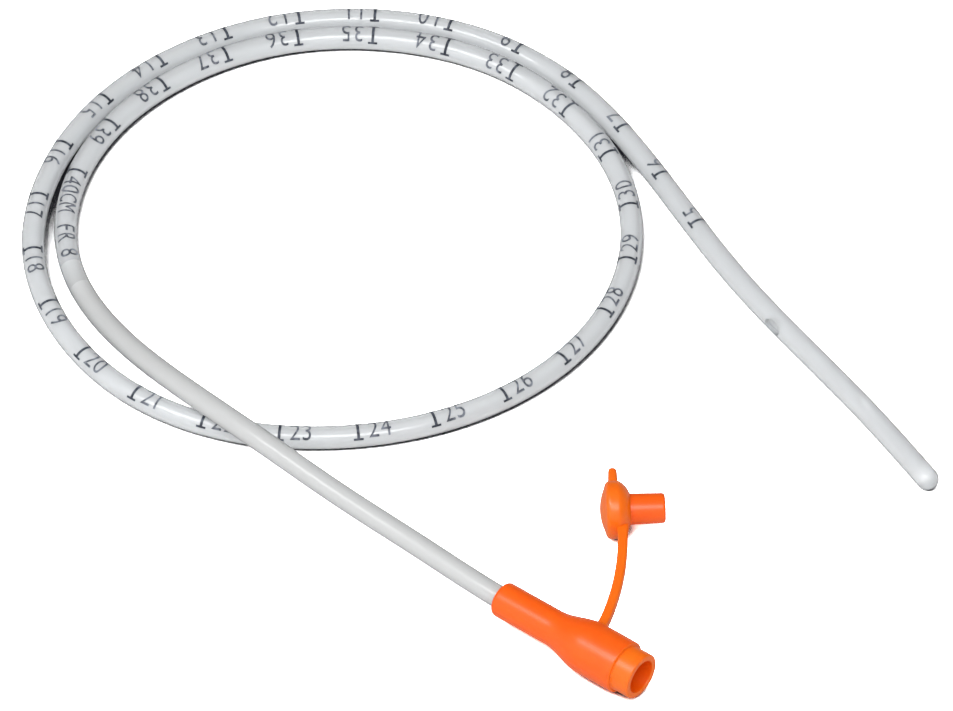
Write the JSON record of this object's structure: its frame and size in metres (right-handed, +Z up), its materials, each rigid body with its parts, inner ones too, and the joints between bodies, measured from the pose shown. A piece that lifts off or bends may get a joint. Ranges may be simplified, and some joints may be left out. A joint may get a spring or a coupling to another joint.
{
  "type": "feeding tube",
  "caption": "Clear soft feeding tube lying in one loose loop, with a closed round tip, two side eyes, and an orange funnel connector with a tethered plug cap.",
  "frame": {"origin": "middle of the base of the whole object's box, on the surface that it lies on", "axes": "+Z up from the surface, +Y away from the connector across the loop, +X to the right towards the tip"},
  "size_m": [0.1182, 0.1256, 0.0075],
  "materials": {
    "clear_pvc": "clear soft plasticised vinyl, smooth, with dark grey printed graduations",
    "orange_pvc": "opaque orange soft plasticised vinyl, satin moulded surface"
  },
  "bodies": {
    "tube_and_connector": {"feeding_tube": "clear_pvc", "funnel_connector": "orange_pvc"},
    "strap": {"cap_strap": "orange_pvc"},
    "cap": {"plug_cap": "orange_pvc"}
  },
  "joints": [
    {"name": "strap_flex", "type": "hinge", "parent": "tube_and_connector", "child": "strap", "pos_m": [0.01618, -0.05054, 0.0036], "axis": [0, 0, 1], "range_deg": [-80, 30], "stiffness_Nm_per_rad": 0.00015},
    {"name": "cap_fold", "type": "hinge", "parent": "strap", "child": "cap", "pos_m": [0.01851, -0.03588, 0.0036], "axis": [0, 0, 1], "range_deg": [-60, 60], "stiffness_Nm_per_rad": 0.00015}
  ]
}
